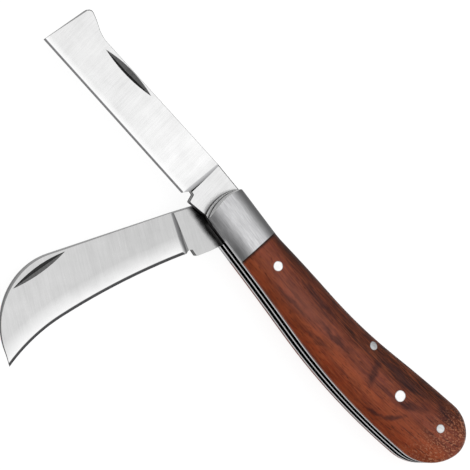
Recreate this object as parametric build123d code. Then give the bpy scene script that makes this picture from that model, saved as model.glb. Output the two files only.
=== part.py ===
from build123d import *
import os
from math import cos, radians, sin, sqrt

# A folding grafting and pruning knife. Two blades turn on one pivot at the bolster end,
# each in its own well between the liners, and each is held by its own backspring.
#
# Millimetres. The origin is on the pivot axis, in the plane that the knife lies on.
# +X runs along the bolster towards the open blades, +Y points out of the slot that the
# blades fold into, and +Z points up out of the front scale.

# Layers of the handle, from the rear face to the front face
SCALE_T = 3.7
LINER_T = 0.9
WELL_T = 2.5
BLADE_T = 2.4
REAR_LINER_Z = SCALE_T
REAR_WELL_Z = REAR_LINER_Z + LINER_T
CENTRE_LINER_Z = REAR_WELL_Z + WELL_T
FRONT_WELL_Z = CENTRE_LINER_Z + LINER_T
FRONT_LINER_Z = FRONT_WELL_Z + WELL_T
FRONT_SCALE_Z = FRONT_LINER_Z + LINER_T
HANDLE_T = FRONT_SCALE_Z + SCALE_T

# Handle outline, seen from the front
BACK_Y = -8.2
SLOT_Y = 5.2
JOINT_X = -9.8
JOINT_LEAN = 15
NOSE_X = 8.8
NOSE_RADIUS = 13.5
NOSE_CORNER_R = 1.2
LINER_LIP = 0.9
HANDLE_CURVE = [
    (-13.2, -8.4),
    (-34.7, -10.5),
    (-61.5, -14.9),
    (-85.5, -20.4),
    (-94.3, -18.3),
    (-97.1, -11.3),
    (-86.0, 0.7),
    (-66.0, 4.1),
    (-36.7, 5.5),
    (JOINT_X, SLOT_Y),
]
HALF_WIDTH = (SLOT_Y - BACK_Y) / 2

# Dome across the scales and bolsters: an arc that runs smoothly into a flat on the crown,
# and leans this many degrees where it meets the upright sides
DOME_RADIUS = 5.4
DOME_LEAN = 60
DOME_STEPS = 6

# Pins and rivets: place and radius
PIVOT = (0, 0)
PIVOT_R = 1.5
PIVOT_CLEARANCE = 0.03
SPRING_PIN = (-54.8, -10.9)
SPRING_PIN_R = 1.3
BUTT_PIN = (-87.2, -11.8)
BUTT_PIN_R = 1.3
FORE_RIVET = (-17.1, -1.9)
FORE_RIVET_R = 1.5
AFT_RIVET = (-71.5, -7.9)
AFT_RIVET_R = 1.7
BOLSTER_RIVET = (-6.0, -1.5)
BOLSTER_RIVET_R = 1.0

# How the blades stand, as directions in the handle's frame, in degrees
OPEN_DIR = 5
GRAFTING_CLOSED_DIR = 182
PRUNING_CLOSED_DIR = 178
PRUNING_SHOWN_DIR = 67.5

# Slip joint: the spring bears on a flat of the tang when a blade is open or closed
FLAT_R = 4.95
CAM_R = 5.55
SHOULDER_X = 4.5
CLOSED_FLAT_X = 5.0

# Backsprings
SPRING_FRONT_X = 4.4
SPRING_SEAT_Y = -5.0
GRAFTING_KICK_SEAT_Y = -5.7
PRUNING_KICK_SEAT_Y = -5.45
SPRING_SEAT_X = -5.4
KICK_SEAT_X = (-7.2, -14.5)
SPRING_INSIDE = [(-36.0, -7.7), (-54.8, -8.4), (-60.0, -9.6), (-75.0, -14.6), (-79.5, -17.3)]
BUTT_PLATE_X = -81.3
BUTT_PLATE_FOOT_Y = -16.4
BUTT_PLATE_TOP = [(BUTT_PLATE_X, -8.6), (-104, 1.5)]
ROOM_FILLET = 0.6

# Grinds, across half a blade, by distance from the cutting edge
EDGE_HALF_T = 0.04
BEVEL_HALF_T = 0.25
GRIND_W = 17
PLUNGE_FILLET = 2

# Both blades: the bevels along the spine, the heel's corners and the nail nicks
SPINE_BEVEL = 0.3
SPINE_Y = -8.5
HEEL_FILLET = 0.45
NICK_W = 2.3
NICK_DEPTH = 0.7

# Grafting blade, along and across it from the pivot
GRAFTING_EDGE_Y = 4.85
GRAFTING_TIP_X = 80.6
GRAFTING_SPINE = [(16, -9.1), (66, -8.8)]
GRAFTING_LIFTER = [(71.1, -10.0), (75.4, -11.75), (77.1, -11.2)]
GRAFTING_HEEL = [(18.0, GRAFTING_EDGE_Y), (16.4, 2.5), (15.1, 2.7), (14.5, 5.1), (7.7, 4.1)]
GRAFTING_BEVEL_W = 0.55
GRAFTING_PLUNGE = [(15.5, -8.4), (16.1, 2.1)]
GRAFTING_NICK = [(45.1, -7.8, 0.95), (65.3, -7.0, 0.95)]

# Pruning blade: a hollow edge made of two arcs, and a spine that curls to the tip
PRUNING_HEEL = [(15.0, 4.2), (14.3, 3.3), (13.1, 3.4), (12.3, 5.7), (7.5, 5.5)]
PRUNING_HEEL_DIR = 2.5
PRUNING_EDGE_R = 232
PRUNING_EDGE_TURN = 10.8
PRUNING_HOOK_R = 58.8
PRUNING_HOOK_TURN = 21.6
PRUNING_SPINE = [(16, -8.8), (57, -8.8)]
PRUNING_CURL = (78.4, 14.5)
PRUNING_BEVEL_W = 0.85
PRUNING_PLUNGE = [(15.6, -8.6), (14.3, 3.2)]
PRUNING_NICK = [(52.2, -7.9, 1.15), (71.3, -2.3, 1.15)]

# Tools that only cut reach this far, or turn this many degrees, past what they cut. A tool
# that takes all that lies past a plane is a cube of this size.
REACH = 10
SPARE_TURN = 12
PAST_ALL = 200

# Points nearer than this are the same point
FIT = 0.001


def arc_chain(start, heading, ends):
    """Arcs from point to point, each one tangent to the one before it."""
    arcs = []
    for end in ends:
        arc = TangentArc(start, end, tangent=heading)
        arcs.append(arc)
        start, heading = arc @ 1, arc % 1
    return arcs


def turned(point, angle):
    """A point turned about the pivot by an angle in degrees."""
    x, y = point
    c, s = cos(radians(angle)), sin(radians(angle))
    return (x * c - y * s, x * s + y * c)


def direction(angle):
    """The unit vector of an angle in degrees."""
    return turned((1, 0), angle)


def rod(place, radius, low, high):
    """A round bar along Z between two heights."""
    return Pos(*place, (low + high) / 2) * Cylinder(radius, high - low)


def slab(face, low, high):
    """A flat outline as a plate between two heights."""
    return Pos(0, 0, low) * extrude(face, high - low)


def all_past():
    """A cube that holds all that lies past the XY plane."""
    return Box(PAST_ALL, PAST_ALL, PAST_ALL, align=(Align.CENTER, Align.CENTER, Align.MIN))


# ---------------------------------------------------------------- handle outline


def lifted(point, lift):
    """A point of a backspring, moved as its free front arm bends outwards."""
    x, y = point
    arm = SPRING_PIN[0]
    if x < arm or y > SPRING_SEAT_Y + lift:
        return point
    return (x, y - lift * ((x - arm) / arm) ** 2)


def square_front(x, lift=0):
    """The handle outline's front end, cut off square."""
    corners = [(JOINT_X, SLOT_Y), (x, SLOT_Y), (x, BACK_Y), (JOINT_X, BACK_Y)]
    return [Polyline(*[lifted(corner, lift) for corner in corners])]


def round_front(lip=0):
    """The handle outline's front end, with its rounded nose and a lip towards the slot."""
    half_chord_x = NOSE_X - NOSE_RADIUS + sqrt(NOSE_RADIUS**2 - HALF_WIDTH**2)
    top, bottom = (half_chord_x + lip, SLOT_Y), (half_chord_x, BACK_Y)
    nose = ThreePointArc(top, (NOSE_X + lip / 2, (SLOT_Y + BACK_Y) / 2), bottom)
    return [Line((JOINT_X, SLOT_Y), top), nose, Line(bottom, (JOINT_X, BACK_Y))]


def handle_face(front, lift=0):
    """The handle outline, with the given front end."""
    points = [lifted(point, lift) for point in HANDLE_CURVE]
    slope = 2 * lift / SPRING_PIN[0]
    curve = arc_chain(lifted((JOINT_X, BACK_Y), lift), (-1, -slope), points)
    return make_face([*curve, *front])


def nose_face(lip=0):
    """The handle outline with its rounded nose, eased where the nose meets the back."""
    face = handle_face(round_front(lip))
    corner = face.vertices().sort_by(Axis.Y).filter_by(lambda vertex: vertex.X > 0)[0]
    return fillet(corner, NOSE_CORNER_R)


# ---------------------------------------------------------------- scales and bolsters


def dome_level(face, lean):
    """The handle's outline at the level of the dome where it leans by an angle."""
    inset = DOME_RADIUS * (sin(radians(DOME_LEAN)) - sin(radians(lean)))
    height = SCALE_T - DOME_RADIUS * (1 - cos(radians(lean)))
    return Pos(0, 0, height) * (offset(face, -inset) if inset else face)


def half_handle():
    """One side of the handle above its liner: upright sides, then the dome."""
    face = handle_face(square_front(NOSE_X + REACH))
    leans = [DOME_LEAN * (1 - step / DOME_STEPS) for step in range(DOME_STEPS + 1)]
    levels = [dome_level(face, lean) for lean in leans]
    return extrude(face, levels[0].center().Z) + loft(levels)


def front_side(half):
    """Half a handle, moved to the front."""
    return Pos(0, 0, FRONT_SCALE_Z) * half


def rear_side(half):
    """Half a handle, turned over to the rear."""
    return Pos(0, 0, SCALE_T) * mirror(half, about=Plane.XY)


def aft_of_joint():
    """The space behind the joint of bolster and wood, which leans forward to the crown."""
    return Pos(JOINT_X, 0, 0) * Rot(0, JOINT_LEAN - 90, 0) * all_past()


def wood_scale(half):
    """A scale, with the holes of its two rivets and of the two spring pins."""
    scale = half & aft_of_joint()
    for place, radius in (
        (FORE_RIVET, FORE_RIVET_R),
        (AFT_RIVET, AFT_RIVET_R),
        (SPRING_PIN, SPRING_PIN_R),
        (BUTT_PIN, BUTT_PIN_R),
    ):
        scale -= rod(place, radius, -REACH, REACH)
    return scale


def steel_bolster(half):
    """A bolster, with its rounded nose and the holes of the pivot and its rivet."""
    nose = slab(nose_face(), -REACH, REACH)
    bolster = (half & nose) - aft_of_joint()
    bolster -= rod(PIVOT, PIVOT_R, -REACH, REACH)
    return bolster - rod(BOLSTER_RIVET, BOLSTER_RIVET_R, -REACH, REACH)


# ---------------------------------------------------------------- liners and pins


def liner(low, has_rivets):
    """A liner at a height, drilled for the pins, and for the rivets if it has them."""
    holes = [(PIVOT, PIVOT_R), (SPRING_PIN, SPRING_PIN_R), (BUTT_PIN, BUTT_PIN_R)]
    if has_rivets:
        holes += [(FORE_RIVET, FORE_RIVET_R), (AFT_RIVET, AFT_RIVET_R)]
        holes += [(BOLSTER_RIVET, BOLSTER_RIVET_R)]
    plate = slab(nose_face(LINER_LIP), low, low + LINER_T)
    for place, radius in holes:
        plate -= rod(place, radius, low, low + LINER_T)
    return plate


def dressed_pin(envelope, place, radius, low=0, high=HANDLE_T):
    """A pin or rivet between two heights, ground flush with the handle's faces."""
    return rod(place, radius, low, high) & envelope


# ---------------------------------------------------------------- backsprings


def blade_room(kick_seat_y, lift):
    """The space inside a well that the closed blade needs, as an outline."""
    edge = [
        (SPRING_FRONT_X + REACH, SPRING_SEAT_Y),
        (SPRING_SEAT_X, SPRING_SEAT_Y),
        *[(x, kick_seat_y) for x in KICK_SEAT_X],
        *SPRING_INSIDE,
        (BUTT_PLATE_X, BUTT_PLATE_FOOT_Y),
        *BUTT_PLATE_TOP,
    ]
    inner = FilletPolyline(*[lifted(point, lift) for point in edge], radius=ROOM_FILLET)
    above = [(x, SLOT_Y + REACH) for x, _ in (edge[-1], edge[0])]
    return make_face([inner, Polyline(inner @ 1, *above, inner @ 0)])


def backspring(low, kick_seat_y, lift=0):
    """A backspring with its butt plate, lifted at the front by a blade that is part open."""
    face = handle_face(square_front(SPRING_FRONT_X, lift), lift) - blade_room(kick_seat_y, lift)
    spring = slab(face, low, low + WELL_T)
    spring -= rod(SPRING_PIN, SPRING_PIN_R, low, low + WELL_T)
    return spring - rod(BUTT_PIN, BUTT_PIN_R, low, low + WELL_T)


# ---------------------------------------------------------------- blades


def tang_outline(closed_dir):
    """The tang from its closed flat, round the cam, along its open flat to the shoulder."""
    half_flat = sqrt(CAM_R**2 - FLAT_R**2)
    closed_start = turned((-CLOSED_FLAT_X, -FLAT_R), -closed_dir)
    closed_end = turned((half_flat, -FLAT_R), -closed_dir)
    open_start = turned((-half_flat, -FLAT_R), -OPEN_DIR)
    open_end = turned((SHOULDER_X, -FLAT_R), -OPEN_DIR)
    shoulder = turned((SHOULDER_X, BACK_Y), -OPEN_DIR)
    cam_middle = (-CAM_R, 0)
    return [
        Line(closed_start, closed_end),
        ThreePointArc(closed_end, cam_middle, open_start),
        Polyline(open_start, open_end, shoulder),
    ]


def grafting_face():
    """Outline of the grafting blade: straight edge, square tip, bark lifter on the spine."""
    tang = tang_outline(GRAFTING_CLOSED_DIR)
    spine = Polyline(tang[-1] @ 1, *GRAFTING_SPINE)
    lifter = arc_chain(spine @ 1, spine % 1, GRAFTING_LIFTER)
    tip = Polyline(GRAFTING_LIFTER[-1], (GRAFTING_TIP_X, GRAFTING_EDGE_Y), GRAFTING_HEEL[0])
    heel = FilletPolyline(*GRAFTING_HEEL, tang[0] @ 0, radius=HEEL_FILLET)
    return make_face([*tang, spine, *lifter, tip, heel])


def pruning_edge():
    """The pruning blade's cutting edge, as two arcs from the heel to the tip."""
    long_arc = JernArc(
        PRUNING_HEEL[0], direction(PRUNING_HEEL_DIR), PRUNING_EDGE_R, PRUNING_EDGE_TURN
    )
    hook = JernArc(long_arc @ 1, long_arc % 1, PRUNING_HOOK_R, PRUNING_HOOK_TURN)
    return [long_arc, hook]


def pruning_face():
    """Outline of the pruning blade: hooked, with a hollow edge."""
    tang = tang_outline(PRUNING_CLOSED_DIR)
    edge = pruning_edge()
    spine = Polyline(tang[-1] @ 1, *PRUNING_SPINE)
    curl = arc_chain(PRUNING_SPINE[-1], (1, 0), [PRUNING_CURL, edge[-1] @ 1])
    heel = FilletPolyline(*PRUNING_HEEL, tang[0] @ 0, radius=HEEL_FILLET)
    return make_face([*tang, spine, *curl, *edge, heel])


def grind_section(plane, bevel_w):
    """What is ground off one side of a blade, seen along it, on a plane at its edge."""
    half_t = BLADE_T / 2
    corners = [
        (-REACH, EDGE_HALF_T),
        (0, EDGE_HALF_T),
        (bevel_w, BEVEL_HALF_T),
        (GRIND_W, half_t),
        (GRIND_W, half_t + REACH),
        (-REACH, half_t + REACH),
    ]
    return plane * make_face(Polyline(*corners, close=True))


def plunge_plane(line):
    """The sloping face where a grind starts, through its line on the blade's side."""
    start, end = Vector(*line[0]), Vector(*line[1])
    along = (end - start).normalized()
    middle = (start + end) / 2 + Vector(0, 0, BLADE_T / 2)
    return Plane(middle, x_dir=along, z_dir=along.cross(Vector(0, 0, 1)) + Vector(0, 0, 1))


def ground_space(grind, line):
    """What the wheel takes off one side, with its rounded corner along the plunge."""
    slope = plunge_plane(line)
    tool = grind & (slope * all_past())
    corners = [
        edge
        for edge in tool.edges()
        if EDGE_HALF_T < edge.center().Z < BLADE_T / 2
        and abs(slope.to_local_coords(edge.center()).Z) < FIT
    ]
    return fillet(corners, PLUNGE_FILLET)


def straight_grind():
    """What is ground off one side of the grafting blade."""
    far_x = GRAFTING_TIP_X + REACH
    plane = Plane((far_x, GRAFTING_EDGE_Y, 0), x_dir=(0, -1, 0), z_dir=(-1, 0, 0))
    return extrude(grind_section(plane, GRAFTING_BEVEL_W), far_x)


def curved_grind():
    """What is ground off one side of the pruning blade: two rings about the edge's arcs."""
    turns = (PRUNING_EDGE_TURN, PRUNING_HOOK_TURN)
    rings = []
    for arc, turn, back in zip(pruning_edge(), turns, (SPARE_TURN, 0)):
        centre = Vector(arc.arc_center)
        outward = (arc @ 0 - centre).normalized()
        plane = Plane(arc @ 0, x_dir=outward, z_dir=outward.cross(Vector(0, 0, 1)))
        axis = Axis(centre, (0, 0, 1))
        ring = revolve(grind_section(plane, PRUNING_BEVEL_W), axis, turn + SPARE_TURN)
        rings.append(ring.rotate(axis, -back))
    return rings[0] + rings[1]


def nail_nick(line):
    """A nick between points on a blade's face, as a sharp-rimmed wheel leaves it."""
    start, end = Vector(*line[0]), Vector(*line[1])
    chord = end - start
    wheel_r = (chord.length**2 / 4 + NICK_DEPTH**2) / (2 * NICK_DEPTH)
    middle = (start + end) / 2 + Vector(0, 0, wheel_r - NICK_DEPTH)
    flank = Cone(
        wheel_r,
        wheel_r - 2 * NICK_DEPTH,
        NICK_W,
        align=(Align.CENTER, Align.CENTER, Align.MIN),
    )
    return Plane(middle, x_dir=chord, z_dir=Vector(0, 0, 1).cross(chord)) * (
        flank + mirror(flank, about=Plane.XY)
    )


def blade(face, grind, plunge, nick):
    """A blade about its own middle plane, with its pivot hole."""
    half_blade = slab(face, 0, BLADE_T / 2)
    outline = half_blade.faces().sort_by(Axis.Z)[-1].edges()
    spine = [edge for edge in outline if edge.center().Y < SPINE_Y]
    half_blade = chamfer(spine, SPINE_BEVEL) - ground_space(grind, plunge)
    whole = half_blade + mirror(half_blade, about=Plane.XY)
    whole -= nail_nick(nick)
    return whole - rod(PIVOT, PIVOT_R + PIVOT_CLEARANCE, -BLADE_T, BLADE_T)


def in_well(part, well_z, angle):
    """A blade put in its well, standing in a direction."""
    return Pos(0, 0, well_z + WELL_T / 2) * Rot(0, 0, angle) * part


# ---------------------------------------------------------------- assembly

half = half_handle()
envelope = rear_side(half) + slab(nose_face(), REAR_LINER_Z, FRONT_SCALE_Z)
envelope += front_side(half)
cam_lift = CAM_R - FLAT_R

nodes = {
    "front_scale": front_side(wood_scale(half)),
    "rear_scale": rear_side(wood_scale(half)),
    "front_bolster": front_side(steel_bolster(half)),
    "rear_bolster": rear_side(steel_bolster(half)),
    "front_liner": liner(FRONT_LINER_Z, has_rivets=True),
    "centre_liner": liner(CENTRE_LINER_Z, has_rivets=False),
    "rear_liner": liner(REAR_LINER_Z, has_rivets=True),
    "grafting_blade": in_well(
        blade(grafting_face(), straight_grind(), GRAFTING_PLUNGE, GRAFTING_NICK),
        FRONT_WELL_Z,
        OPEN_DIR,
    ),
    "pruning_blade": in_well(
        blade(pruning_face(), curved_grind(), PRUNING_PLUNGE, PRUNING_NICK),
        REAR_WELL_Z,
        PRUNING_SHOWN_DIR,
    ),
    "grafting_backspring": backspring(FRONT_WELL_Z, GRAFTING_KICK_SEAT_Y),
    "pruning_backspring": backspring(REAR_WELL_Z, PRUNING_KICK_SEAT_Y, cam_lift),
    "pivot_pin": dressed_pin(envelope, PIVOT, PIVOT_R),
    "spring_pin": dressed_pin(envelope, SPRING_PIN, SPRING_PIN_R),
    "butt_pin": dressed_pin(envelope, BUTT_PIN, BUTT_PIN_R),
}
for side, low, high in (("front", FRONT_LINER_Z, HANDLE_T), ("rear", 0, REAR_WELL_Z)):
    nodes[f"{side}_fore_rivet"] = dressed_pin(envelope, FORE_RIVET, FORE_RIVET_R, low, high)
    nodes[f"{side}_aft_rivet"] = dressed_pin(envelope, AFT_RIVET, AFT_RIVET_R, low, high)
    nodes[f"{side}_bolster_rivet"] = dressed_pin(
        envelope, BOLSTER_RIVET, BOLSTER_RIVET_R, low, high
    )

os.makedirs("parts", exist_ok=True)
for name, part in nodes.items():
    export_step(part, f"parts/{name}.step")
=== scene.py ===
from math import cos, radians, sin, tan

import bpy
from mathutils import Matrix, Vector


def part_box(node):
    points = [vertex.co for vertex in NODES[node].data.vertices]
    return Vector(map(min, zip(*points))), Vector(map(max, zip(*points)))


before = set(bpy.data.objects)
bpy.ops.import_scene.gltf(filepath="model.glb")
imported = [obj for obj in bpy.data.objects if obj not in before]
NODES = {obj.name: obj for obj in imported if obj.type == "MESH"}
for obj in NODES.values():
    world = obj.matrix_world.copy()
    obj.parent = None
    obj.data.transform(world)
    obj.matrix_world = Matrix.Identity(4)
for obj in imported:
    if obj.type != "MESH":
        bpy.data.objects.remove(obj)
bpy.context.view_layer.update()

MM = 0.001

# Numbers repeated from the part, in millimetres and degrees
OPEN_DIR = 5
PRUNING_DIR = 67.5
JOINT_X = -9.8
JOINT_SLOPE = tan(radians(15))
FORE_RIVET = (-17.1, -1.9, 1.5)
AFT_RIVET = (-71.5, -7.9, 1.7)
SPRING_PIN = (-54.8, -10.9, 1.3)
BUTT_PIN = (-87.2, -11.8, 1.3)
BEVEL_HALF_T = 0.25

# Where a look starts and where it is complete, in millimetres. Along the handle: the end
# grain at the butt, and the rim of the nose.
BUTT_X = (-82.0, -93.0)
NOSE_X = (4.0, 5.0)

# The same along a blade: its plunge, its nick and its tang; and down through the handle:
# the painted shadow on the lower tang
PLUNGE_X = (24.0, 22.0)
NICK_X = (30.0, 32.0)
TANG_X = (20.0, 18.0)
SHADOWED_Z = (7.6, 7.4)

# The wood's grain bends with the handle: from this place on, at this rate, about a middle
# line that starts at this Y
BEND_X = -10.0
BEND_RATE = 0.00148
GRAIN_Y = -1.5

# Along and across that grain: painted shade along the back edge, where it starts and where it
# is complete, and a painted sheen of soft light, by its centre, half length and half width, and
# angle
BACK_SHADE_X = (-40.0, -17.0)
BACK_SHADE_Y = (-2.8, -6.6)
SHEEN_PATCH = ((-31.0, 1.0), (15.0, 3.4), 2)

# Dark figure in the wood, along and across the grain: centre, half length, half width,
# angle and strength
FIGURE = [
    (-27.5, 3.4, 9.5, 0.9, 5, 0.85),
    (-33.4, -3.3, 7.0, 1.1, 0, 0.95),
    (-44.4, 0.7, 8.0, 0.9, 1, 0.95),
    (-41.7, 5.2, 6.4, 0.75, 6, 0.75),
    (-60.9, -0.4, 5.4, 1.3, 117, 0.9),
    (-67.0, -5.4, 10.0, 1.6, 0, 1.0),
    (-75.6, -0.3, 5.2, 1.5, 27, 1.0),
    (-70.2, 8.2, 3.4, 0.8, 10, 0.9),
    (-74.8, 5.8, 4.0, 0.9, 52, 0.95),
    (-84.4, -6.1, 5.0, 1.2, 158, 0.9),
]


def middle_z(name):
    """The height of a node's middle, in millimetres."""
    low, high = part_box(name)
    return (low.z + high.z) / 2 / MM


LINERS_MIDDLE = middle_z("centre_liner")
LINERS_HALF_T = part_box("front_liner")[1].z / MM - LINERS_MIDDLE


# ---------------------------------------------------------------- node helpers


class Shader:
    """A material on one Principled BSDF, with short calls for the nodes it uses."""

    def __init__(self, name, **values):
        self.material = bpy.data.materials.new(name)
        self.material.use_nodes = True
        self.tree = self.material.node_tree
        self.bsdf = self.tree.nodes["Principled BSDF"]
        self.place = self.tree.nodes.new("ShaderNodeTexCoord")
        for socket, value in values.items():
            self.bsdf.inputs[socket.replace("_", " ")].default_value = value

    def node(self, kind, inputs=(), **settings):
        """A new node, with its settings, and its inputs by name or number."""
        made = self.tree.nodes.new("ShaderNode" + kind)
        for key, value in settings.items():
            setattr(made, key, value)
        for key, value in dict(inputs).items():
            if isinstance(value, bpy.types.NodeSocket):
                self.tree.links.new(value, made.inputs[key])
            else:
                made.inputs[key].default_value = value
        return made

    def math(self, operation, *values):
        return self.node("Math", dict(enumerate(values)), operation=operation).outputs[0]

    def split(self, vector):
        return self.node("SeparateXYZ", {0: vector}).outputs

    def grey(self, value):
        """A colour, or a vector, with the same value three times."""
        return self.node("CombineXYZ", dict.fromkeys(range(3), value)).outputs[0]

    def millimetres(self, angle=0):
        """The point in millimetres, in axes turned to an angle in degrees."""
        inputs = {"Vector": self.place.outputs["Object"], "Scale": (1 / MM,) * 3}
        inputs["Rotation"] = (0, 0, radians(-angle))
        return self.node("Mapping", inputs).outputs[0]

    def from_middle(self, z):
        """How far a height is from the middle of the liners."""
        return self.math("ABSOLUTE", self.math("SUBTRACT", z, LINERS_MIDDLE))

    def stretch(self, value, low, high, to_low=0.0, to_high=1.0):
        """A value from one range, mapped to another range and held inside it."""
        inputs = dict(enumerate((value, low, high, to_low, to_high)))
        return self.node("MapRange", inputs).outputs[0]

    def either(self, a, b):
        return self.math("MAXIMUM", a, b)

    def both(self, a, b):
        return self.math("MULTIPLY", a, b)

    def distance(self, vector, centre, radii, angle=0):
        """The distance from a centre, in units of an ellipse's radii, whatever the height."""
        all_heights = 1e6
        inputs = {"Vector": vector, "Location": (*centre, 0), "Scale": (*radii, all_heights)}
        inputs["Rotation"] = (0, 0, radians(angle))
        scaled = self.node("Mapping", inputs, vector_type="TEXTURE").outputs[0]
        return self.node("VectorMath", {0: scaled}, operation="LENGTH").outputs["Value"]

    def noise(self, vector, grain, detail=3.0, roughness=0.55, seed=0.0):
        """Noise whose grains are about so many millimetres long along each axis."""
        scale = [1 / size for size in grain]
        mapped = self.node("Mapping", {"Vector": vector, "Scale": scale}).outputs[0]
        inputs = {"Vector": mapped, "W": seed, "Scale": 1, "Detail": detail}
        inputs["Roughness"] = roughness
        return self.node("TexNoise", inputs, noise_dimensions="4D").outputs[0]

    def ramp(self, value, *stops):
        """A colour ramp through (place, colour) stops; a number stands for a grey."""
        made = self.node("ValToRGB", {"Fac": value})
        elements = made.color_ramp.elements
        while len(elements) < len(stops):
            elements.new(1)
        for element, (place, colour) in zip(elements, stops):
            element.position = place
            element.color = (*colour, 1) if isinstance(colour, tuple) else (colour,) * 3 + (1,)
        return made.outputs[0]

    def mix(self, factor, a, b, blend="MIX"):
        """Colour a, blended with colour b by a factor."""
        made = self.node("Mix", {"Factor": factor}, data_type="RGBA", blend_type=blend)
        for key, value in ((6, a), (7, b)):
            if isinstance(value, bpy.types.NodeSocket):
                self.tree.links.new(value, made.inputs[key])
            else:
                made.inputs[key].default_value = (*value, 1)
        return made.outputs[2]

    def bump(self, height, depth_mm, before=None):
        """A normal bent by a height pattern, on top of another bump if there is one."""
        inputs = {"Height": height, "Distance": depth_mm * MM, "Strength": 1}
        if before is not None:
            inputs["Normal"] = before
        return self.node("Bump", inputs).outputs[0]

    def link(self, value, socket):
        self.tree.links.new(value, self.bsdf.inputs[socket])

    def finish(self, colour, roughness, normal):
        """Links the shader's main inputs, and gives the material."""
        self.link(colour, "Base Color")
        self.link(roughness, "Roughness")
        self.link(normal, "Normal")
        return self.material


# ---------------------------------------------------------------- materials


def rosewood():
    """Oiled rosewood: grain that follows the handle, dark figure, fibres and open pores, with
    painted shade along the back and a painted sheen.
    """
    s = Shader("rosewood", Specular_IOR_Level=0.16)
    x, y, z = s.split(s.millimetres())
    past_joint = s.math("SUBTRACT", x, BEND_X)
    bend = s.both(s.both(past_joint, past_joint), BEND_RATE)
    across = s.math("SUBTRACT", s.math("ADD", y, bend), GRAIN_Y)
    along = s.node("CombineXYZ", {0: x, 1: across, 2: z}).outputs[0]

    # Broad colour: deep brown at the back edge, darker there in part as painted shade, orange
    # red towards the slot
    drift = s.stretch(s.noise(along, (22, 6, 6), detail=2), 0.25, 0.75, -3.2, 3.2)
    tone = s.stretch(s.math("ADD", across, drift), -8.5, 8.5)
    colour = s.ramp(
        tone,
        (0.10, (0.036, 0.007, 0.003)),
        (0.32, (0.150, 0.030, 0.016)),
        (0.52, (0.280, 0.068, 0.042)),
        (0.76, (0.370, 0.074, 0.026)),
        (1.00, (0.300, 0.048, 0.014)),
    )
    clouds = s.stretch(s.noise(along, (9, 3.2, 3.2), detail=3, seed=1.0), 0.3, 0.7, 0.66, 1.24)
    colour = s.mix(1.0, colour, s.grey(clouds), "MULTIPLY")

    # Figure: faint streaks all along, and the dark streaks and arches of this piece
    broad = s.ramp(s.noise(along, (26, 2.6, 3.0), detail=2, seed=4.0), (0.52, 0.0), (0.68, 0.7))
    thin = s.ramp(s.noise(along, (20, 0.9, 1.1), detail=2, seed=8.0), (0.58, 0.0), (0.66, 0.7))
    waver = s.noise(along, (4.5, 3.0, 3.0), detail=3, seed=9.0)
    waver = s.stretch(waver, 0.25, 0.75, -0.9, 0.9)
    wavy = s.node("CombineXYZ", {0: x, 1: s.math("ADD", across, waver)}).outputs[0]
    marks = 0.0
    for mark_x, mark_y, length, width, angle, strength in FIGURE:
        reach = s.distance(wavy, (mark_x, mark_y), (length, width), angle)
        marks = s.either(s.stretch(reach, 1.3, 0.45, 0.0, strength), marks)
    breaks = s.stretch(s.noise(along, (4, 0.5, 0.6), seed=12.0), 0.35, 0.6, 0.65, 1.0)
    marks = s.both(marks, breaks)
    patchy = s.ramp(s.noise(along, (9, 4, 4), detail=2, seed=2.0), (0.36, 0.15), (0.52, 1.0))
    figure = s.either(s.both(s.either(broad, thin), patchy), marks)
    colour = s.mix(s.both(figure, 0.95), colour, (0.042, 0.011, 0.012))

    # Fibres, dark pores, and pale pores where the grain ends at the butt
    fibre = s.noise(along, (5.5, 0.24, 0.3), detail=3)
    off_figure = s.stretch(figure, 0.0, 1.0, 1.0, 0.2)
    light = s.both(s.ramp(fibre, (0.42, 0.0), (0.66, 0.6)), off_figure)
    colour = s.mix(light, colour, (0.50, 0.125, 0.044))
    pores = s.noise(along, (2.6, 0.2, 0.26), detail=1, seed=6.0)
    pores = s.ramp(pores, (0.32, 1.0), (0.40, 0.0))
    colour = s.mix(s.both(pores, 0.8), colour, (0.045, 0.011, 0.008))
    end_grain = s.stretch(x, *BUTT_X)
    speckle = s.noise(along, (0.75, 0.5, 0.5), detail=1, seed=3.0)
    speckle = s.ramp(speckle, (0.54, 0.0), (0.62, 0.9))
    colour = s.mix(s.both(speckle, end_grain), colour, (0.60, 0.24, 0.13))

    # A painted sheen: a lighter, hazy stretch along the middle of the fore half, for soft light
    # on the crown
    painted_sheen = s.stretch(s.distance(along, *SHEEN_PATCH), 1.25, 0.2, 0.0, 0.36)
    colour = s.mix(painted_sheen, colour, (0.36, 0.125, 0.085))

    # Painted shade: darker along the back edge, next to the bolster
    back_edge_shade = s.both(s.stretch(across, *BACK_SHADE_Y, 0.0, 0.85), s.stretch(x, *BACK_SHADE_X))
    colour = s.mix(back_edge_shade, colour, (0.030, 0.008, 0.005))

    # Dirt in the joint with the bolster
    over_liners = s.math("SUBTRACT", s.from_middle(z), LINERS_HALF_T)
    joint = s.math("MULTIPLY_ADD", over_liners, JOINT_SLOPE, JOINT_X)
    gap = s.stretch(s.math("SUBTRACT", joint, x), 0.25, 1.1, 0.92, 0.0)
    colour = s.mix(gap, colour, (0.020, 0.008, 0.006))
    rough = s.math("ADD", s.stretch(fibre, 0.3, 0.7, 0.38, 0.26), s.both(pores, 0.2))
    return s.finish(colour, rough, s.bump(fibre, 0.010, s.bump(pores, -0.020)))


def worn_steel(s, point, line_mm, light, dark, haze_mm=(9, 6, 6)):
    """Colour and line pattern of ground steel, with patches of haze."""
    lines = s.noise(point, line_mm, detail=4, roughness=0.7)
    haze = s.noise(point, haze_mm, detail=3, seed=5.0)
    colour = s.mix(s.ramp(lines, (0.30, 0.0), (0.70, 1.0)), dark, light)
    return s.mix(s.ramp(haze, (0.35, 0.0), (0.75, 0.35)), colour, dark), lines, haze


def dulled(s, lines, haze, low, high):
    """Roughness of steel with wear, between two values."""
    return s.stretch(s.math("ADD", lines, haze), 0.7, 1.3, low, high)


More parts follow.
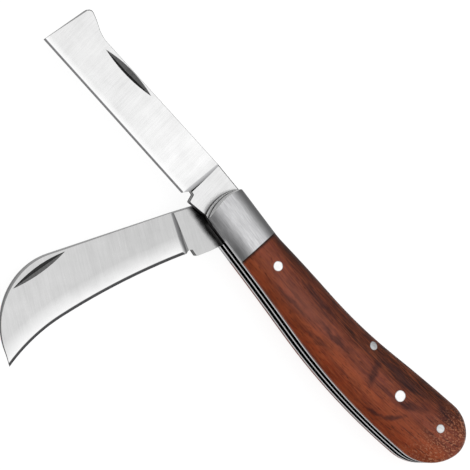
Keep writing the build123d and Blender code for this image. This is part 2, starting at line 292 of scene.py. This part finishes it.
def blade_steel(
    name, blade, angle, shine, highlight_t, bevel, plunge, nick, spine, side, roughness
):
    """A ground blade: lines across it, painted brightness along it, painted shade and highlight
    by how its faces lean (a grey bevel and plunge, a dark nick, a toned spine chamfer, dark
    walls, a bright band by the edge), and a painted shadow on the lower tang.
    """
    s = Shader(name, Metallic=1.0)
    point = s.millimetres(angle)
    lines = s.noise(point, (0.45, 13, 1.2), detail=4, roughness=0.75)
    strokes = s.noise(point, (2.2, 15, 3), detail=2, seed=7.0)
    haze = s.noise(point, (8, 5, 5), detail=4, seed=5.0)
    x, _, z = s.split(point)
    # Painted reflection: the blade's brightness changes along its length
    colour = s.ramp(s.stretch(x, 0.0, 85.0), *shine)
    tint = s.stretch(lines, 0.3, 0.7, 0.90, 1.05)
    tint = s.math("ADD", tint, s.stretch(strokes, 0.3, 0.7, -0.03, 0.03))
    tint = s.math("ADD", tint, s.stretch(haze, 0.3, 0.7, -0.08, 0.04))
    colour = s.mix(1.0, colour, s.grey(tint), "MULTIPLY")

    # How thick the blade is at a point, and how its surface leans there
    half_t = s.math("ABSOLUTE", s.math("SUBTRACT", z, middle_z(blade)))
    flatness = s.math("ABSOLUTE", s.split(s.place.outputs["Normal"])[2])
    thick = s.stretch(half_t, BEVEL_HALF_T, BEVEL_HALF_T + 0.03)
    # Painted shade on the plunge, where the grind turns
    at_plunge = s.both(s.stretch(flatness, 0.9975, 0.985), s.stretch(x, *PLUNGE_X))
    colour = s.mix(s.both(at_plunge, thick), colour, plunge)
    # A painted highlight: a bright band on the face towards the edge
    bright = s.stretch(half_t, BEVEL_HALF_T + highlight_t, BEVEL_HALF_T + 0.02)
    bright = s.both(bright, s.stretch(haze, 0.3, 0.7, 0.6, 0.95))
    colour = s.mix(bright, colour, (0.96, 0.96, 0.96))
    # Painted shade in the nail nick, one shade on the faces that turn towards the edge and
    # another on the rest
    in_nick = s.both(s.stretch(flatness, 0.985, 0.965), s.stretch(x, *NICK_X))
    turned = {"Vector": s.place.outputs["Normal"], "Rotation": (0, 0, radians(-angle))}
    faces_edge = s.stretch(s.split(s.node("Mapping", turned).outputs[0])[1], -0.15, 0.15)
    scratches = s.stretch(lines, 0.35, 0.65)
    near, far = [s.mix(scratches, (v,) * 3, (v * 1.6,) * 3) for v in nick]
    colour = s.mix(s.both(in_nick, thick), colour, s.mix(faces_edge, far, near))
    # Painted shade on the edge bevel
    thin = s.stretch(half_t, BEVEL_HALF_T + 0.01, BEVEL_HALF_T - 0.005)
    colour = s.mix(thin, colour, s.mix(scratches, bevel, [v * 1.5 for v in bevel]))
    # A painted tone on the spine chamfer: shade on one blade, highlight on the other
    colour = s.mix(s.both(s.stretch(flatness, 0.80, 0.76), thick), colour, (spine,) * 3)
    # Painted shade on the walls, darkest along the tang
    wall = s.both(s.stretch(flatness, 0.60, 0.55), thick)
    wall_colour = s.mix(s.stretch(x, *TANG_X), (side,) * 3, (0.045, 0.044, 0.043))
    colour = s.mix(wall, colour, wall_colour)

    # Painted shadow of the upper tang and the bolster, where the lower tang runs into the
    # handle
    entry = s.math("ADD", s.split(s.millimetres())[1], s.stretch(haze, 0.3, 0.7, -0.5, 0.5))
    painted_shade = s.both(s.stretch(entry, 5.8, 7.7, 0.93, 0.0), s.stretch(z, *SHADOWED_Z))
    colour = s.mix(painted_shade, colour, (0.012, 0.011, 0.010))
    rough = dulled(s, lines, haze, roughness, roughness + 0.1)
    return s.finish(colour, rough, s.bump(lines, 0.003))


def bolster_steel():
    """Bolster steel: brushed along the handle, with painted shade on its sides and a painted
    highlight round the nose.
    """
    s = Shader("bolster_steel", Metallic=1.0)
    point = s.millimetres()
    x, y, z = s.split(point)
    light, dark = (0.88, 0.88, 0.89), (0.44, 0.44, 0.45)
    colour, lines, haze = worn_steel(s, point, (4, 0.22, 0.22), light, dark)
    nx, ny, _ = s.split(s.place.outputs["Normal"])
    # Painted shade on the sides that lean away from the light: the back side, and the slot side
    # near the nose
    slot_side_shade = s.both(s.stretch(ny, 0.10, 0.85), s.stretch(x, -6.0, 2.0, 0.62, 0.15))
    flank_shade = s.either(s.stretch(ny, -0.05, -0.75), slot_side_shade)
    colour = s.mix(flank_shade, colour, (0.22, 0.22, 0.222))
    # More painted shade, deepening towards the back edge
    back_shade_band = s.stretch(y, -6.5, -2.5, 0.35, 0.0)
    colour = s.mix(back_shade_band, colour, (0.24, 0.24, 0.243))
    # The nose wall: a painted highlight, with painted shade in the crevice just above the liner
    over_liner = s.stretch(s.from_middle(z), LINERS_HALF_T + 0.9, LINERS_HALF_T + 0.5)
    nose = s.stretch(nx, 0.4, 0.6)
    colour = s.mix(nose, colour, s.mix(over_liner, (1.0, 1.0, 1.0), (0.03, 0.03, 0.03)))
    rough = dulled(s, lines, haze, 0.28, 0.40)
    return s.finish(colour, s.math("MULTIPLY_ADD", nose, 0.25, rough), s.bump(lines, 0.008))


def spring_steel():
    """Backsprings: ground bright outside, with painted shade at the bottom of the wells."""
    s = Shader("spring_steel", Metallic=1.0)
    point = s.millimetres()
    light, dark = (0.72, 0.72, 0.73), (0.46, 0.46, 0.47)
    colour, lines, haze = worn_steel(s, point, (11, 0.25, 0.25), light, dark)
    # Painted shade on the faces that look into the wells
    well_shade = s.stretch(s.split(s.place.outputs["Normal"])[1], 0.55, 0.75)
    colour = s.mix(well_shade, colour, (0.015, 0.014, 0.013))
    rough = dulled(s, lines, haze, 0.28, 0.42)
    return s.finish(colour, rough, s.bump(lines, 0.006))


def liner_steel():
    """Liners: bright on their edges and outer faces, with painted shade inside the wells and a
    painted highlight on their outer face at the nose.
    """
    s = Shader("liner_steel", Metallic=1.0)
    point = s.millimetres()
    x, _, z = s.split(point)
    light, dark = (0.88, 0.88, 0.89), (0.62, 0.62, 0.63)
    colour, lines, haze = worn_steel(s, point, (14, 0.3, 0.3), light, dark)
    lean = s.split(s.place.outputs["Normal"])[2]
    flat = s.stretch(s.math("ABSOLUTE", lean), 0.5, 0.7)
    outwards = s.both(lean, s.math("SUBTRACT", z, LINERS_MIDDLE))
    # Painted shade: near black on the flat faces inside the wells, and below the outer face at
    # the nose
    inside = s.both(flat, s.stretch(outwards, 1.8, 1.4))
    under = s.stretch(s.from_middle(z), LINERS_HALF_T - 0.15, LINERS_HALF_T - 0.3)
    nose_gap_shade = s.both(s.stretch(x, *NOSE_X), under)
    painted_shade = s.mix(haze, (0.006, 0.006, 0.006), (0.030, 0.028, 0.026))
    colour = s.mix(s.either(inside, nose_gap_shade), colour, painted_shade)
    # A painted highlight: white, and rougher, on the outer face at the nose
    lip_highlight = s.both(s.stretch(x, *NOSE_X), s.stretch(outwards, 1.8, 2.2))
    colour = s.mix(lip_highlight, colour, (1.0, 1.0, 1.0))
    rough = dulled(s, lines, haze, 0.26, 0.40)
    return s.finish(colour, s.math("MULTIPLY_ADD", lip_highlight, 0.3, rough), s.bump(lines, 0.004))


def pin_steel(name, light, dark, low_rough, *places):
    """Pin and rivet ends: filed flush, with fine scratches and dirt round the rim."""
    s = Shader(name, Metallic=1.0)
    point = s.millimetres(30)
    colour, lines, haze = worn_steel(s, point, (2.5, 0.14, 0.5), light, dark, (1.4, 1.1, 1.1))
    from_axis = None
    for x, y, radius in places:
        reach = s.distance(s.millimetres(), (x, y), (radius, radius))
        from_axis = reach if from_axis is None else s.math("MINIMUM", from_axis, reach)
    rim = s.stretch(s.math("ADD", from_axis, s.stretch(haze, 0.3, 0.7, -0.06, 0.06)), 0.84, 1.0)
    colour = s.mix(s.both(rim, 0.75), colour, (0.10, 0.095, 0.09))
    rough = dulled(s, lines, haze, low_rough, low_rough + 0.12)
    return s.finish(colour, rough, s.bump(lines, 0.002))


# ---------------------------------------------------------------- stage


def direction(degrees_from_up, heading):
    """A unit vector leaning from +Z by an angle, towards a heading in the XY plane."""
    flat = Vector((heading[0], heading[1], 0)).normalized()
    lean = radians(degrees_from_up)
    return Vector((0, 0, 1)) * cos(lean) + flat * sin(lean)


def softbox(name, aim, at, distance, size, power):
    """A square area light that shines at a point from a direction."""
    light = bpy.data.lights.new(name, "AREA")
    light.size = size
    light.energy = power
    thing = bpy.data.objects.new(name, light)
    thing.location = aim + at * distance
    thing.rotation_euler = (-at).to_track_quat("-Z", "Y").to_euler()
    bpy.context.collection.objects.link(thing)


def floor(height, half, albedo, glow):
    """A large, plain, pale floor at a height, like the top of a light table."""
    mesh = bpy.data.meshes.new("floor")
    corners = [(-half, -half), (half, -half), (half, half), (-half, half)]
    mesh.from_pydata([(x, y, height) for x, y in corners], [], [(0, 1, 2, 3)])
    thing = bpy.data.objects.new("floor", mesh)
    thing.visible_glossy = False
    thing.visible_diffuse = False
    bpy.context.collection.objects.link(thing)
    s = Shader("floor_paint", Base_Color=(albedo, albedo, albedo, 1), Roughness=0.9)
    s.bsdf.inputs["Specular IOR Level"].default_value = 0
    s.bsdf.inputs["Emission Color"].default_value = (1, 1, 1, 1)
    s.bsdf.inputs["Emission Strength"].default_value = glow
    mesh.materials.append(s.material)


def camera(target, lean, image_right, frame_width, lens):
    """The camera, leaning back from straight down, with a heading for the image's right."""
    right_flat = Vector((*image_right, 0)).normalized()
    up = Vector((0, 0, 1)).cross(right_flat)
    back = Vector((0, 0, 1)) * cos(radians(lean)) - right_flat * sin(radians(lean))
    data = bpy.data.cameras.new("camera")
    data.lens = lens
    thing = bpy.data.objects.new("camera", data)
    place = target + back * frame_width * lens / data.sensor_width
    turn = Matrix((up.cross(back), up, back)).transposed()
    thing.matrix_world = Matrix.Translation(place) @ turn.to_4x4()
    data.clip_end = 20
    bpy.context.collection.objects.link(thing)
    bpy.context.scene.camera = thing


def sky(lobes, base):
    """Plain soft surroundings: an even base, and lobes of (direction, strength, sharpness)."""
    world = bpy.data.worlds.new("surroundings")
    bpy.context.scene.world = world
    world.use_nodes = True
    tree = world.node_tree
    place = tree.nodes.new("ShaderNodeTexCoord").outputs["Generated"]
    total = base
    for towards, strength, sharpness in lobes:
        dot = tree.nodes.new("ShaderNodeVectorMath")
        dot.operation = "DOT_PRODUCT"
        dot.inputs[1].default_value = towards
        tree.links.new(place, dot.inputs[0])
        value = dot.outputs["Value"]
        steps = (("MAXIMUM", 0), ("POWER", sharpness), ("MULTIPLY_ADD", strength, total))
        for operation, *numbers in steps:
            step = tree.nodes.new("ShaderNodeMath")
            step.operation = operation
            tree.links.new(value, step.inputs[0])
            for i, number in enumerate(numbers, 1):
                if isinstance(number, bpy.types.NodeSocket):
                    tree.links.new(number, step.inputs[i])
                else:
                    step.inputs[i].default_value = number
            value = step.outputs[0]
        total = value
    tree.links.new(total, tree.nodes["Background"].inputs["Strength"])
    tree.nodes["Background"].inputs["Color"].default_value = (1, 1, 1, 1)


def dress(material, *names):
    """Gives a material to CAD nodes."""
    for name in names:
        NODES[name].material_slots[0].material = material


# ---------------------------------------------------------------- the knife

dress(rosewood(), "front_scale", "rear_scale")
dress(
    bolster_steel(),
    "front_bolster",
    "rear_bolster",
    "front_bolster_rivet",
    "rear_bolster_rivet",
    "pivot_pin",
)
dress(liner_steel(), "front_liner", "centre_liner", "rear_liner")
dress(spring_steel(), "grafting_backspring", "pruning_backspring")
dress(
    blade_steel(
        "grafting_steel",
        "grafting_blade",
        OPEN_DIR,
        shine=((0.0, 0.77), (0.19, 0.80), (0.24, 0.91), (0.6, 0.83), (1.0, 0.80)),
        highlight_t=0.11,
        bevel=(0.24, 0.24, 0.245),
        plunge=(0.66, 0.66, 0.67),
        nick=(0.17, 0.035),
        spine=0.02,
        side=0.05,
        roughness=0.16,
    ),
    "grafting_blade",
)
dress(
    blade_steel(
        "pruning_steel",
        "pruning_blade",
        PRUNING_DIR,
        shine=((0.0, 0.58), (0.3, 0.58), (0.6, 0.62), (1.0, 0.67)),
        highlight_t=0.30,
        bevel=(0.075, 0.075, 0.078),
        plunge=(0.30, 0.30, 0.305),
        nick=(0.055, 0.20),
        spine=0.92,
        side=0.26,
        roughness=0.18,
    ),
    "pruning_blade",
)
dress(
    pin_steel("rivet_steel", (1.0, 1.0, 1.0), (0.93, 0.93, 0.93), 0.24, FORE_RIVET, AFT_RIVET),
    *[f"{side}_{place}_rivet" for side in ("front", "rear") for place in ("fore", "aft")],
)
dress(
    pin_steel("pin_steel", (0.92, 0.93, 0.94), (0.55, 0.56, 0.57), 0.30, SPRING_PIN, BUTT_PIN),
    "spring_pin",
    "butt_pin",
)

# ---------------------------------------------------------------- stage, light and camera

LEAN = 24
IMAGE_RIGHT = (-0.6361, -0.7716)
MIDDLE = Vector((-3.4, 0.4, LINERS_MIDDLE)) * MM
FRAME_W = 137.6 * MM
KEY = direction(LEAN, IMAGE_RIGHT)
LOW = Vector((-0.79, 0.59, 0.18)).normalized()

floor(-0.05 * MM, half=4, albedo=0.32, glow=0.87)
sky([(KEY, 0.60, 1.6), ((0, 0, -1), 0.45, 1.0)], base=0.27)
softbox("key", MIDDLE, KEY, distance=0.9, size=0.5, power=0.2)
softbox("low", MIDDLE, LOW, distance=0.6, size=0.1, power=0.1)
camera(MIDDLE, LEAN, IMAGE_RIGHT, FRAME_W, lens=1500)
bpy.context.scene.view_settings.view_transform = "Standard"
